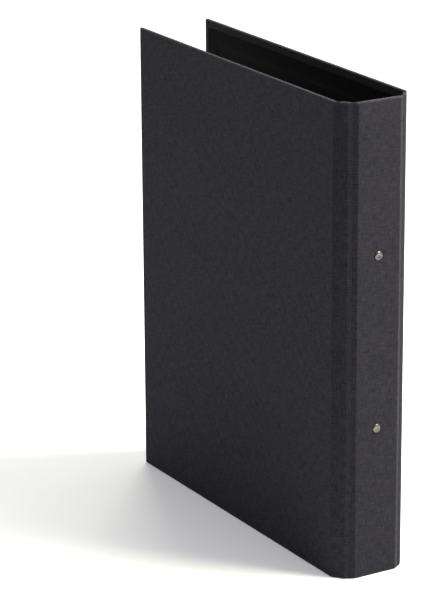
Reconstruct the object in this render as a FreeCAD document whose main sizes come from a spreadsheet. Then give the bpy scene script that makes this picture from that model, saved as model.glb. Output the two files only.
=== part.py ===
"""An A4 ring binder in book cloth over board, with a two-ring mechanism riveted to its spine.

Row frame: +Z up the standing height, +Y from the spine to the fore-edge, +X from the back cover to
the front cover. The origin is the middle of the standing face. Lengths are millimetres.

In plan, each corner of the case is a chain: the spine, a joint of bare cloth, a narrow strip, a
second joint and the cover. The back side (-X) is modelled and the front side is its mirror image.
"""

import FreeCAD
import Part
import os
import re
import Sketcher

Vector = FreeCAD.Vector
UP = Vector(0, 0, 1)
INWARDS = Vector(0, 1, 0)  # from the spine towards the fore-edge
ACROSS = Vector(1, 0, 0)  # from the back cover towards the front cover

# ---------------------------------------------------------------- driving sizes
SIZES = {
    # case
    "height": 320.0,
    "depth": 257.0,  # spine face to fore-edge
    "thickness": 55.0,  # over the closed covers
    "board": 2.0,
    "cloth": 0.3,
    "lining": 0.2,
    "turn_in": 15.0,  # cloth folded over onto the inside
    "head_margin": 5.5,  # cloth left showing above and below the lining
    "edge_margin": 4.5,  # cloth left showing at the fore-edge
    "edge_round": 0.6,
    # corner, from the spine to the cover
    "spine_joint": 6.5,
    "spine_joint_angle": 30.0,
    "strip_width": 4.2,
    "strip_angle": 49.0,
    "cover_joint": 5.5,
    "cover_joint_angle": 55.0,
    "joint_cloth": 0.7,  # outer cloth, turned-in cloth and lining pressed into one layer
    "press_depth": 0.4,  # how far the middle of a joint is pressed below its edges
    # rivets
    "rivet_pitch": 116.3,
    "rivet_head_radius": 2.8,
    "rivet_head": 0.7,
    "rivet_rim": 0.3,
    "rivet_dish_radius": 1.75,
    "rivet_dish": 0.25,
    "rivet_shank_radius": 1.9,
    "rivet_clench_radius": 2.7,
    "rivet_clench": 0.7,
    "rivet_clearance": 0.1,
    # cover plate of the ring mechanism
    "plate_width": 17.6,
    "plate_rise": 4.6,
    "plate_flank": 2.4,  # height of the upright flanks
    "plate_sheet": 0.8,
    "plate_lip": 1.8,  # inward fold along each long edge
    "plate_bend": 1.2,  # outer radius where the sheet turns
    "cup_foot_radius": 3.1,
    "cup_top_radius": 4.2,
    # leaves
    "leaf_sheet": 0.9,
    "leaf_pivot_out": 7.3,
    "leaf_pivot_rise": 1.55,
    "leaf_slope": 8.0,
    "leaf_middle_gap": 0.15,  # from each leaf's edge to the middle plane
    "leaf_end_gap": 5.6,  # from the rivet to the leaf's end
    # rings
    "ring_pitch": 80.0,
    "ring_bore": 30.0,
    "wire": 2.8,
    "ring_foot_out": 4.2,
    "peg_radius": 1.0,
    "peg_rise": 0.35,  # end of the peg above the lining
    "tip_gap": 0.1,  # from each ring end to the middle plane
    "nose_length": 1.0,
    "nose_root_radius": 0.75,
    "nose_tip_radius": 0.4,
    "nose_clearance": 0.15,
    "slot_inner": 2.2,  # from the middle plane to each slot
    "slot_floor": 1.6,
    "slot_clearance": 0.6,
}
OVERRUN = 1.0  # how far a cutting shape runs past the face that it opens
SAME = 1e-6  # coordinates closer than this are equal

doc = FreeCAD.newDocument("RingBinder")
sheet = doc.addObject("Spreadsheet::Sheet", "Sizes")
for row, (alias, value) in enumerate(SIZES.items(), start=1):
    sheet.set(f"A{row}", str(value))
    sheet.setAlias(f"A{row}", alias)
doc.recompute()


def cells(text):
    """An expression in which each named size is read from the sheet."""
    return re.sub(
        r"[a-z_]+", lambda m: "Sizes." + m[0] if m[0] in SIZES else m[0], str(text)
    )


def bind(obj, **expressions):
    """Bind properties to the sheet. Two underscores stand for a dot in the property's path."""
    for prop, text in expressions.items():
        obj.setExpression(prop.replace("__", "."), cells(text))
    return obj


def size(text):
    """The number that an expression has now."""
    return float(sheet.evalExpression(cells(text)))


# ---------------------------------------------------------------- places worked out from the sizes
HALF = "(thickness / 2)"
SPINE_Y = "((rivet_head - depth) / 2)"
FORE_Y = f"({SPINE_Y} + depth)"
SPINE_HALF = (
    f"({HALF} - spine_joint * cos(spine_joint_angle)"
    " - strip_width * cos(strip_angle) - cover_joint * cos(cover_joint_angle))"
)
STRIP_LOW_X = f"(-{SPINE_HALF} - spine_joint * cos(spine_joint_angle))"
STRIP_LOW_Y = f"({SPINE_Y} + spine_joint * sin(spine_joint_angle))"
STRIP_HIGH_X = f"({STRIP_LOW_X} - strip_width * cos(strip_angle))"
STRIP_HIGH_Y = f"({STRIP_LOW_Y} + strip_width * sin(strip_angle))"
COVER_Y = f"({STRIP_HIGH_Y} + cover_joint * sin(cover_joint_angle))"

MECHANISM_Y = f"({SPINE_Y} + cloth + board + lining)"
RING_RADIUS = "((ring_bore + wire) / 2)"
RING_DROP = f"sqrt({RING_RADIUS} ^ 2 - ring_foot_out ^ 2)"
LEAF_RISE_AT_FOOT = (
    "(leaf_pivot_rise - (leaf_pivot_out - ring_foot_out) * tan(leaf_slope))"
)
FOOT_Y = f"({MECHANISM_Y} + {LEAF_RISE_AT_FOOT} + (leaf_sheet + wire) / (2 * cos(leaf_slope)))"
RING_Y = f"({FOOT_Y} + {RING_DROP})"

# A frame is (x, y, angle): local X runs along the piece towards the spine, local Y runs inwards.
SPINE_FRAME = (f"(-{SPINE_HALF})", SPINE_Y, "0")
SPINE_JOINT_FRAME = (STRIP_LOW_X, STRIP_LOW_Y, "spine_joint_angle")
STRIP_FRAME = (STRIP_HIGH_X, STRIP_HIGH_Y, "strip_angle")
COVER_JOINT_FRAME = (f"(-{HALF})", COVER_Y, "cover_joint_angle")
COVER_FRAME = (f"(-{HALF})", FORE_Y, "90")


# ---------------------------------------------------------------- makers
def put(obj, x, y, z, frame=("0", "0", "0")):
    """Place an object at a point of a frame."""
    origin_x, origin_y, angle = frame
    obj.Placement = FreeCAD.Placement(Vector(), FreeCAD.Rotation(UP, -size(angle)))
    if angle != "0":
        bind(obj, Placement__Rotation__Angle=f"-{angle}")
    return bind(
        obj,
        Placement__Base__x=f"{origin_x} + ({x}) * cos({angle}) + ({y}) * sin({angle})",
        Placement__Base__y=f"{origin_y} - ({x}) * sin({angle}) + ({y}) * cos({angle})",
        Placement__Base__z=z,
    )


def box(name, along, inward, up, frame=("0", "0", "0")):
    """A block given by (start, end) along the frame's X, its Y and up Z."""
    block = doc.addObject("Part::Box", name)
    bind(
        block,
        Length=f"({along[1]}) - ({along[0]})",
        Width=f"({inward[1]}) - ({inward[0]})",
        Height=f"({up[1]}) - ({up[0]})",
    )
    return put(block, along[0], inward[0], up[0], frame)


def aim(obj, direction, x, y, z):
    """Place an object at a point, with its own Z turned to a direction."""
    obj.Placement = FreeCAD.Placement(Vector(), FreeCAD.Rotation(UP, direction))
    return bind(obj, Placement__Base__x=x, Placement__Base__y=y, Placement__Base__z=z)


def cylinder(name, radius, length, direction, x, y, z):
    rod = doc.addObject("Part::Cylinder", name)
    bind(rod, Radius=radius, Height=length)
    return aim(rod, direction, x, y, z)


def cone(name, foot_radius, top_radius, length, direction, x, y, z):
    taper = doc.addObject("Part::Cone", name)
    bind(taper, Radius1=foot_radius, Radius2=top_radius, Height=length)
    return aim(taper, direction, x, y, z)


def cut(name, base, tool):
    result = doc.addObject("Part::Cut", name)
    result.Base = base
    result.Tool = tool
    return result


def common(name, base, tool):
    result = doc.addObject("Part::Common", name)
    result.Base = base
    result.Tool = tool
    return result


def fuse(name, *shapes):
    result = doc.addObject("Part::MultiFuse", name)
    result.Shapes = list(shapes)
    return result


def mirror(name, source):
    """The same piece on the other side of the middle plane."""
    result = doc.addObject("Part::Mirroring", name)
    result.Source = source
    result.Base = Vector()
    result.Normal = ACROSS
    return result


def near(a, b):
    return abs(a - b) < SAME


def rounded(name, block, radius, wanted):
    """Round those edges of a block whose middle, in the block's own frame, is wanted."""
    doc.recompute()
    plain = block.Shape.copy()
    plain.Placement = FreeCAD.Placement()
    edges = []
    for number, edge in enumerate(plain.Edges, start=1):
        if wanted(edge.CenterOfMass, plain.BoundBox):
            edges.append((number, radius, radius))
    result = doc.addObject("Part::Fillet", name)
    result.Base = block
    result.Edges = edges
    return result


nodes = []


def keep(obj, label):
    """Name a finished sub-part."""
    obj.Label = label
    nodes.append(obj)
    return obj


# ---------------------------------------------------------------- panels of the case
BOARD_DEPTH = ("cloth", "cloth + board")
TURN_IN_DEPTH = ("cloth + board", "2 * cloth + board")
LINING_TOP = "2 * cloth + board + lining"


def head_and_tail(middle, bounds):
    """Edges along the head and tail of a panel."""
    at_end = near(middle.z, bounds.ZMin) or near(middle.z, bounds.ZMax)
    return at_end and near(middle.x, bounds.Center.x)


def free_edges(middle, bounds):
    """Edges along the head, tail and fore-edge of a cover, and its two corners."""
    return head_and_tail(middle, bounds) or near(middle.x, bounds.XMin)


def panel(name, frame, width, wrapped):
    """The board, cloth and lining of one panel. Cloth is wrapped round its far edge, or runs on."""
    board_start = "cloth" if wrapped else "0"
    cavity_start = "cloth" if wrapped else -OVERRUN
    window_start = "turn_in" if wrapped else -OVERRUN
    lining_start = "edge_margin" if wrapped else "0"
    pad_start = "turn_in" if wrapped else "0"
    hollow_start = "turn_in + lining" if wrapped else -OVERRUN
    past = f"{width} + {OVERRUN}"

    board = box(
        f"{name}_board_block",
        (board_start, width),
        BOARD_DEPTH,
        ("cloth", "height - cloth"),
        frame,
    )

    block = box(f"{name}_block", ("0", width), ("0", TURN_IN_DEPTH[1]), ("0", "height"), frame)
    edges = free_edges if wrapped else head_and_tail
    soft_block = rounded(f"{name}_soft_block", block, size("edge_round"), edges)
    cavity = box(
        f"{name}_cavity", (cavity_start, past), BOARD_DEPTH, ("cloth", "height - cloth"), frame
    )
    window = box(
        f"{name}_window",
        (window_start, past),
        ("cloth + board / 2", f"{TURN_IN_DEPTH[1]} + {OVERRUN}"),
        ("turn_in", "height - turn_in"),
        frame,
    )
    cloth = cut(f"{name}_cloth_cut", soft_block, fuse(f"{name}_inside", cavity, window))

    rim = box(
        f"{name}_lining_rim",
        (lining_start, width),
        (TURN_IN_DEPTH[1], LINING_TOP),
        ("head_margin", "height - head_margin"),
        frame,
    )
    pad = box(
        f"{name}_lining_pad",
        (pad_start, width),
        (TURN_IN_DEPTH[0], LINING_TOP),
        ("turn_in", "height - turn_in"),
        frame,
    )
    hollow = box(
        f"{name}_lining_hollow",
        (hollow_start, past),
        ("cloth + board + lining", f"{LINING_TOP} + {OVERRUN}"),
        ("turn_in + lining", "height - turn_in - lining"),
        frame,
    )
    lining = cut(f"{name}_lining_cut", fuse(f"{name}_lining_block", rim, pad), hollow)
    return board, cloth, lining, block


def joint(name, frame, length, neighbours):
    """Bare cloth between two panels, trimmed to their ends and pressed into a shallow valley."""
    band = box(f"{name}_band", ("0", length), ("0", "joint_cloth"), ("0", "height"), frame)
    start_x, start_y, angle = frame
    slope = f"atan(2 * press_depth / {length}) / 1 deg"
    side = f"sqrt({length} ^ 2 / 4 + press_depth ^ 2)"
    first_frame = (start_x, start_y, f"({angle} - {slope})")
    last_frame = (
        f"({start_x} + {length} * cos({angle}))",
        f"({start_y} - {length} * sin({angle}))",
        f"({angle} + {slope})",
    )
    outside = (-OVERRUN, "0")
    full_height = (-OVERRUN, f"height + {OVERRUN}")
    first_press = box(f"{name}_first", (-OVERRUN, side), outside, full_height, first_frame)
    last_press = box(f"{name}_last", (f"-{side}", OVERRUN), outside, full_height, last_frame)
    limits = fuse(f"{name}_limits", first_press, last_press, *neighbours)
    return cut(f"{name}_cut", band, limits)


# ---------------------------------------------------------------- case
spine_board, spine_cloth, spine_lining, spine_block = panel(
    "spine", SPINE_FRAME, f"(2 * {SPINE_HALF})", wrapped=False
)
strip_board, strip_cloth, strip_lining, strip_block = panel(
    "strip", STRIP_FRAME, "strip_width", wrapped=False
)
cover_board, cover_cloth, cover_lining, cover_block = panel(
    "cover", COVER_FRAME, f"({FORE_Y} - {COVER_Y})", wrapped=True
)
spine_joint = joint(
    "spine_joint", SPINE_JOINT_FRAME, "spine_joint", [spine_block, strip_block]
)
cover_joint = joint(
    "cover_joint", COVER_JOINT_FRAME, "cover_joint", [strip_block, cover_block]
)

RIVET_HEIGHTS = {
    "upper": "height / 2 + rivet_pitch / 2",
    "lower": "height / 2 - rivet_pitch / 2",
}


def rivet_holes(name, start, length):
    """Two holes on the spine's centre line."""
    radius = "rivet_shank_radius + rivet_clearance"
    holes = []
    for place, rise in RIVET_HEIGHTS.items():
        label = f"{name}_{place}_hole"
        holes.append(cylinder(label, radius, length, INWARDS, "0", start, rise))
    return fuse(f"{name}_holes", *holes)


through_spine = rivet_holes(
    "spine", f"{SPINE_Y} - {OVERRUN}", f"cloth + board + cloth + lining + 2 * {OVERRUN}"
)
keep(cut("spine_board_drilled", spine_board, through_spine), "spine_board")
keep(cut("spine_cloth_drilled", spine_cloth, through_spine), "spine_cloth")
keep(cut("spine_lining_drilled", spine_lining, through_spine), "spine_lining")

BACK_PIECES = {
    "strip_board": strip_board,
    "strip_cloth": strip_cloth,
    "strip_lining": strip_lining,
    "spine_joint": spine_joint,
    "cover_joint": cover_joint,
    "board": cover_board,
    "cloth": cover_cloth,
    "lining": cover_lining,
}
for piece, shape in BACK_PIECES.items():
    keep(shape, f"back_{piece}")
    keep(mirror(f"front_{piece}_mirror", shape), f"front_{piece}")


# ---------------------------------------------------------------- rivets
FULL_TURN = 360


def revolved_body(name, outline):
    """A PartDesign body turned about its own Y axis.

    Each point of the outline is (x, y, radius, bulge). The radius is that of the arc to the next
    point, or None for a straight edge, and bulge is 1 where the arc swells and -1 where it dips.
    """
    body = doc.addObject("PartDesign::Body", name)
    planes = {f.Role: f for f in body.Origin.OriginFeatures}
    sketch = body.newObject("Sketcher::SketchObject", f"{name}_outline")
    sketch.AttachmentSupport = [(planes["XY_Plane"], "")]
    sketch.MapMode = "FlatFace"
    points = [Vector(size(x), size(y), 0) for x, y, _, _ in outline]
    count = len(points)
    starts = []
    for i, (_, _, radius, bulge) in enumerate(outline):
        start, end = points[i], points[(i + 1) % count]
        if radius is None:
            sketch.addGeometry(Part.LineSegment(start, end))
            starts.append((i, 1, 2))
            continue
        chord = end - start
        rise = size(radius) - (size(radius) ** 2 - chord.Length**2 / 4) ** 0.5
        outward = Vector(chord.y, -chord.x, 0).normalize() * bulge
        middle = (start + end) / 2 + outward * rise
        if bulge > 0:
            sketch.addGeometry(Part.Arc(start, middle, end))
            starts.append((i, 1, 2))
        else:
            sketch.addGeometry(Part.Arc(end, middle, start))
            starts.append((i, 2, 1))
    for i, (x, y, radius, _) in enumerate(outline):
        own, following = starts[i], starts[(i + 1) % count]
        sketch.addConstraint(
            Sketcher.Constraint("Coincident", own[0], own[2], following[0], following[1])
        )
        for kind, text in (("DistanceX", x), ("DistanceY", y)):
            number = sketch.addConstraint(
                Sketcher.Constraint(kind, -1, 1, own[0], own[1], size(text))
            )
            sketch.setExpression(f"Constraints[{number}]", cells(text))
        if radius is not None:
            number = sketch.addConstraint(Sketcher.Constraint("Radius", i, size(radius)))
            sketch.setExpression(f"Constraints[{number}]", cells(radius))
    turned = body.newObject("PartDesign::Revolution", f"{name}_turned")
    turned.Profile = sketch
    turned.ReferenceAxis = (sketch, ["V_Axis"])
    turned.Angle = FULL_TURN
    return body


DISH_CURVE = "((rivet_dish_radius ^ 2 + rivet_dish ^ 2) / (2 * rivet_dish))"
BROW = "(rivet_head_radius - rivet_dish_radius)"
FALL = "(rivet_head - rivet_rim)"
BROW_CURVE = f"(({BROW} ^ 2 + {FALL} ^ 2) / (2 * {FALL}))"
GRIP = "(cloth + board + lining + plate_sheet)"
RIVET_OUTLINE = [
    ("0", "rivet_dish - rivet_head", DISH_CURVE, -1),
    ("rivet_dish_radius", "-rivet_head", BROW_CURVE, 1),
    ("rivet_head_radius", "-rivet_rim", None, 0),
    ("rivet_head_radius", "0", None, 0),
    ("rivet_shank_radius", "0", None, 0),
    ("rivet_shank_radius", GRIP, None, 0),
    ("rivet_clench_radius", GRIP, None, 0),
    ("rivet_clench_radius", f"{GRIP} + rivet_clench", None, 0),
    ("0", f"{GRIP} + rivet_clench", None, 0),
]
for place, rise in RIVET_HEIGHTS.items():
    rivet = revolved_body(f"{place}_rivet_body", RIVET_OUTLINE)
    bind(rivet, Placement__Base__y=SPINE_Y, Placement__Base__z=rise)
    keep(rivet, f"{place}_rivet")


# ---------------------------------------------------------------- cover plate
PLATE_HALF = "(plate_width / 2)"
CROWN = "(plate_rise - plate_flank)"
CROWN_RADIUS = f"(({PLATE_HALF} ^ 2 + {CROWN} ^ 2) / (2 * {CROWN}))"
PLATE_LOW = "(height / 2 - rivet_pitch / 2)"
PLATE_HIGH = "(height / 2 + rivet_pitch / 2)"
PLATE_SPAN = (f"{PLATE_LOW} - {PLATE_HALF}", f"{PLATE_HIGH} + {PLATE_HALF}")


def along_sides(middle, bounds):
    """The long edges down both sides of a bar."""
    at_side = near(middle.x, bounds.XMin) or near(middle.x, bounds.XMax)
    return at_side and near(middle.z, bounds.Center.z)


def arch(name, half_width, low, radius, bend):
    """A bar with a flat foot, upright sides and an arched top, as long as the plate."""
    bar = box(
        f"{name}_bar",
        (f"-({half_width})", half_width),
        (f"{MECHANISM_Y} + {low}", f"{MECHANISM_Y} + plate_rise"),
        PLATE_SPAN,
    )
    crown = cylinder(
        f"{name}_crown",
        radius,
        "rivet_pitch + plate_width",
        UP,
        "0",
        f"{MECHANISM_Y} + plate_rise - {CROWN_RADIUS}",
        PLATE_SPAN[0],
    )
    return rounded(name, common(f"{name}_arch", bar, crown), size(bend), along_sides)


filled = arch("plate_filled", PLATE_HALF, "0", CROWN_RADIUS, "plate_bend")
hollow = arch(
    "plate_hollow",
    f"({PLATE_HALF} - plate_sheet)",
    "plate_sheet",
    f"({CROWN_RADIUS} - plate_sheet)",
    "plate_bend - plate_sheet",
)
mouth_half = f"({PLATE_HALF} - plate_lip)"
mouth = box(
    "plate_mouth",
    (f"-{mouth_half}", mouth_half),
    (f"{MECHANISM_Y} - {OVERRUN}", f"{MECHANISM_Y} + plate_sheet + {OVERRUN}"),
    PLATE_SPAN,
)
bent_sheet = cut("plate_bent_sheet", filled, fuse("plate_inside", hollow, mouth))

cups = []
cuts = []
ends = []
for place, rise in RIVET_HEIGHTS.items():
    cups.append(
        cone(
            f"plate_{place}_cup",
            "cup_foot_radius + plate_sheet",
            "cup_top_radius + plate_sheet",
            "plate_rise",
            INWARDS,
            "0",
            MECHANISM_Y,
            rise,
        )
    )
    cuts.append(
        cone(
            f"plate_{place}_cup_inside",
            "cup_foot_radius",
            "cup_top_radius",
            "plate_rise - plate_sheet",
            INWARDS,
            "0",
            f"{MECHANISM_Y} + plate_sheet",
            rise,
        )
    )
    label = f"plate_{place}_end"
    ends.append(cylinder(label, PLATE_HALF, "plate_rise", INWARDS, "0", MECHANISM_Y, rise))
plan = fuse(
    "plate_plan",
    *ends,
    box(
        "plate_plan_middle",
        (f"-{PLATE_HALF}", PLATE_HALF),
        (MECHANISM_Y, f"{MECHANISM_Y} + plate_rise"),
        (PLATE_LOW, PLATE_HIGH),
    ),
)
cup_metal = common("plate_cup_metal", fuse("plate_cups", *cups), filled)
cupped_sheet = common("plate_trimmed", fuse("plate_metal", bent_sheet, cup_metal), plan)

RING_HEIGHTS = {
    "upper": "(height / 2 + ring_pitch / 2)",
    "lower": "(height / 2 - ring_pitch / 2)",
}
SLOT_HALF = "(wire / 2 + slot_clearance)"
SLOT_RISE = (f"{MECHANISM_Y} + slot_floor", f"{MECHANISM_Y} + plate_rise + {OVERRUN}")
for place, rise in RING_HEIGHTS.items():
    span = (f"{rise} - {SLOT_HALF}", f"{rise} + {SLOT_HALF}")
    outside = f"{PLATE_HALF} + {OVERRUN}"
    cuts.append(box(f"{place}_back_slot", (f"-({outside})", "-slot_inner"), SLOT_RISE, span))
    cuts.append(box(f"{place}_front_slot", ("slot_inner", outside), SLOT_RISE, span))
plate_holes = rivet_holes("plate", f"{MECHANISM_Y} - {OVERRUN}", f"plate_rise + {OVERRUN}")
keep(cut("plate_cut", cupped_sheet, fuse("plate_cuts", *cuts, plate_holes)), "cover_plate")


# ---------------------------------------------------------------- leaves and half rings
LEAF_LOW = "(height / 2 - rivet_pitch / 2 + leaf_end_gap)"
LEAF_HIGH = "(height / 2 + rivet_pitch / 2 - leaf_end_gap)"
LEAF_WIDTH = "((leaf_pivot_out - leaf_middle_gap) / cos(leaf_slope))"
LEAF_FRAME = ("(-leaf_pivot_out)", f"({MECHANISM_Y} + leaf_pivot_rise)", "leaf_slope")
leaf_blade = box(
    "leaf_blade",
    ("0", LEAF_WIDTH),
    ("-leaf_sheet / 2", "leaf_sheet / 2"),
    (LEAF_LOW, LEAF_HIGH),
    LEAF_FRAME,
)
leaf_length = f"{LEAF_HIGH} - {LEAF_LOW}"
leaf_edge = cylinder("leaf_edge", "leaf_sheet / 2", leaf_length, UP, *LEAF_FRAME[:2], LEAF_LOW)
peg_holes = []
for place, rise in RING_HEIGHTS.items():
    spot = ("-ring_foot_out", MECHANISM_Y, rise)
    peg_holes.append(cylinder(f"{place}_peg_hole", "peg_radius", "plate_rise", INWARDS, *spot))
leaf = cut("leaf", fuse("leaf_metal", leaf_blade, leaf_edge), fuse("peg_holes", *peg_holes))
keep(leaf, "back_leaf")
keep(mirror("leaf_mirror", leaf), "front_leaf")

TIP_ANGLE = f"asin(tip_gap / {RING_RADIUS})"
FOOT_ANGLE = f"asin(ring_foot_out / {RING_RADIUS})"
NOSE_ROOT = "wire / 2"  # how far the nose runs back into the wire

for place, rise in RING_HEIGHTS.items():
    wire = doc.addObject("Part::Torus", f"{place}_wire")
    bind(
        wire,
        Radius1=RING_RADIUS,
        Radius2="wire / 2",
        Angle3=f"180 deg - {TIP_ANGLE} - {FOOT_ANGLE}",
        Placement__Base__y=RING_Y,
        Placement__Base__z=rise,
    )
    wire.Placement = FreeCAD.Placement(Vector(), FreeCAD.Rotation(UP, 90))
    bind(wire, Placement__Rotation__Angle=f"90 deg + {TIP_ANGLE}")
    foot = doc.addObject("Part::Sphere", f"{place}_foot")
    bind(foot, Radius="wire / 2")
    put(foot, "-ring_foot_out", FOOT_Y, rise)
    spot = ("-ring_foot_out", f"{MECHANISM_Y} + peg_rise", rise)
    peg_length = f"{FOOT_Y} - {MECHANISM_Y} - peg_rise"
    peg = cylinder(f"{place}_peg", "peg_radius", peg_length, INWARDS, *spot)
    half_ring = fuse(f"{place}_half_ring", wire, foot, peg)

    nose_y = f"{RING_Y} + {RING_RADIUS}"
    nose = cone(
        f"{place}_nose",
        "nose_root_radius",
        "nose_tip_radius",
        f"nose_length + {NOSE_ROOT}",
        ACROSS,
        f"-tip_gap - {NOSE_ROOT}",
        nose_y,
        rise,
    )
    socket = cone(
        f"{place}_socket",
        "nose_root_radius + nose_clearance",
        "nose_tip_radius + nose_clearance",
        f"nose_length + {NOSE_ROOT} + nose_clearance",
        ACROSS,
        f"-tip_gap - {NOSE_ROOT}",
        nose_y,
        rise,
    )
    keep(fuse(f"{place}_back_ring", half_ring, nose), f"{place}_back_half_ring")
    plain_front = mirror(f"{place}_front_ring", half_ring)
    keep(cut(f"{place}_front_ring_cut", plain_front, socket), f"{place}_front_half_ring")

doc.recompute()

# ---------------------------------------------------------------- check and export
for obj in doc.Objects:
    faults = [word for word in obj.State if word in ("Invalid", "Error")]
    if faults:
        raise RuntimeError(f"{obj.Name} is {faults}")
os.makedirs("parts", exist_ok=True)
for node in nodes:
    shape = node.Shape
    if shape.isNull() or not shape.isValid() or shape.Volume <= 0:
        raise RuntimeError(f"{node.Label} has no valid solid")
    shape.exportStep(f"parts/{node.Label}.step")
    print(f"{node.Label}: {shape.Volume / 1000:.2f} cm3, {len(shape.Solids)} solid")

print(f"spine is {2 * size(SPINE_HALF):.2f} mm wide between its joints")
print(f"cover starts {size(COVER_Y) - size(SPINE_Y):.2f} mm from the spine's face")
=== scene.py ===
# %% [markdown]
# # A ring binder in linen book cloth
#
# This lesson dresses an engineering model of an A4 ring binder. The model arrives as a fixed frame:
# boards, cloth blanks, rivets and the ring mechanism, each a named node that moves with a body.
# Here the plain blanks become cloth that wraps its boards, creases at its joints and shows its
# weave, and the metal gets its plating. Everything is in metres, in the frame's own axes: Z is up,
# the spine faces -Y, and the back cover is on the -X side.

import math

import bpy
import bmesh
import numpy as np
from mathutils import Euler, Matrix, Vector


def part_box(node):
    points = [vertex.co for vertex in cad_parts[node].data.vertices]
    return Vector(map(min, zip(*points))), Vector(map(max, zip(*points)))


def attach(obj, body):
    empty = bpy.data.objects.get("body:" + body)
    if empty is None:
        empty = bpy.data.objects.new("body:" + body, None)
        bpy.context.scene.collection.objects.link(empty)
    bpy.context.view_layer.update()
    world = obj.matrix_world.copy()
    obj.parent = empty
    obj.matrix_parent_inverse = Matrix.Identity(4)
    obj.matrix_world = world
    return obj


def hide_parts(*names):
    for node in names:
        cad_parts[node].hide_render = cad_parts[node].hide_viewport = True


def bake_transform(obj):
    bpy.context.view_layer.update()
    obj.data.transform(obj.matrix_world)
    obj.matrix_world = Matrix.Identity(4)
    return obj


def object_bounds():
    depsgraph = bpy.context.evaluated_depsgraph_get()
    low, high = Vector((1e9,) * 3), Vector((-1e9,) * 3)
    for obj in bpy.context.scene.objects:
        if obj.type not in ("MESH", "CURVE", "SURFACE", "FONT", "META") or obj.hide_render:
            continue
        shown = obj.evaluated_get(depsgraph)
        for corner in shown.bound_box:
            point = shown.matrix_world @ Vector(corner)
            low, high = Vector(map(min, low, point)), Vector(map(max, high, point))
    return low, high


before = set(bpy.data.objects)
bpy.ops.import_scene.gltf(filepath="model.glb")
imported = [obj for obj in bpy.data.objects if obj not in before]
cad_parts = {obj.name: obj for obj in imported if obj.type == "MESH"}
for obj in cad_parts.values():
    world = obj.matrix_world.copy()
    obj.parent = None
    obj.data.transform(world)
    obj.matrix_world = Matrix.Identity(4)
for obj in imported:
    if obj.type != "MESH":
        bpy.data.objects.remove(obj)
cad_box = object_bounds()
MM = 0.001

# %% [markdown]
# ## Camera
#
# Seen from far away through a long lens, upright edges stay almost parallel. The camera is placed
# first, because everything after it is judged through it. It stands in front and to the left, a
# little above the binder, and looks down on it.

# %% Place the camera
CAMERA_PLACE = (-1.007, -1.628, 0.772)
CAMERA_TURN = math.radians(-30.507)
CAMERA_DIP = math.radians(17.902)
CAMERA_ROLL = math.radians(-0.38)
CAMERA_LENS = 178.83  # millimetres, on a 36 mm sensor

camera_data = bpy.data.cameras.new("camera")
camera_data.lens = CAMERA_LENS
camera = bpy.data.objects.new("camera", camera_data)
bpy.context.scene.collection.objects.link(camera)
aim = Euler((math.pi / 2 - CAMERA_DIP, 0, CAMERA_TURN)).to_matrix()
aim = aim @ Matrix.Rotation(CAMERA_ROLL, 3, "Z")
camera.matrix_world = Matrix.Translation(CAMERA_PLACE) @ aim.to_4x4()
bpy.context.scene.camera = camera
print("camera:", tuple(round(x, 3) for x in camera.location))

# %% [markdown]
# ## Studio
#
# The binder stands on a white sweep. A warm softbox to the right of the spine lights the spine and
# throws a wide shadow to the left. The back cover faces away from it and sees only the bright room
# and the floor, so it stays darker. A weak lamp behind softens the far side of the shadow.

# %% Make the floor and the lamps
FLOOR_SIZE = 14.0
# Each lamp: azimuth from the spine's own direction towards the right and height, in degrees,
# distance and size in metres, and power in watts.
LAMPS = {
    "softbox": (53, 47, 1.2, 0.68, 42.5),
    "rear_lamp": (150, 50, 2.2, 0.7, 17.0),
}
LAMP_COLOUR = (1.0, 0.98, 0.84)  # a warm white

bpy.context.scene.view_settings.view_transform = "Standard"

floor_mesh = bpy.data.meshes.new("floor")
half = FLOOR_SIZE / 2
floor_mesh.from_pydata([(-half, -half, 0), (half, -half, 0), (half, half, 0), (-half, half, 0)], [],
                       [(0, 1, 2, 3)])
floor = bpy.data.objects.new("floor", floor_mesh)
bpy.context.scene.collection.objects.link(floor)

middle = (cad_box[0] + cad_box[1]) / 2
for name, (azimuth, height, distance, size, power) in LAMPS.items():
    lamp_data = bpy.data.lights.new(name, "AREA")
    lamp_data.shape = "SQUARE"
    lamp_data.size = size
    lamp_data.energy = power
    lamp_data.color = LAMP_COLOUR
    lamp = bpy.data.objects.new(name, lamp_data)
    bpy.context.scene.collection.objects.link(lamp)
    turn, rise = math.radians(azimuth), math.radians(height)
    to_lamp = Vector((math.sin(turn) * math.cos(rise), -math.cos(turn) * math.cos(rise),
                      math.sin(rise)))
    lamp.location = middle + to_lamp * distance
    lamp.rotation_euler = to_lamp.to_track_quat("Z", "Y").to_euler()
    print(f"{name}:", tuple(round(x, 2) for x in lamp.location))

# %% [markdown]
# Node trees are long when every node takes several lines, so two small helpers make a node with
# its settings and its inputs in one call. An input may be a plain value or another node's output.

# %% Helpers for node trees
def add_node(tree, kind, inputs=None, **settings):
    node = tree.nodes.new(kind)
    for name, value in settings.items():
        setattr(node, name, value)
    for name, value in (inputs or {}).items():
        if isinstance(value, bpy.types.NodeSocket):
            tree.links.new(value, node.inputs[name])
        else:
            node.inputs[name].default_value = value
    return node


def math_node(tree, operation, *values):
    node = add_node(tree, "ShaderNodeMath", dict(enumerate(values)), operation=operation)
    return node.outputs[0]


# %% Light the room
ROOM_LOW = 0.10  # strength at the horizon
ROOM_HIGH = 1.33  # strength overhead
ROOM_FADE = (0.45, 0.8)  # how far up, from 0 to 1, the glow starts to grow and is full
ROOM_COLOUR = (0.985, 0.985, 1.015, 1)  # daylight is a little blue
FLOOR_COLOUR = (0.93, 0.93, 0.93, 1)

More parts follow.
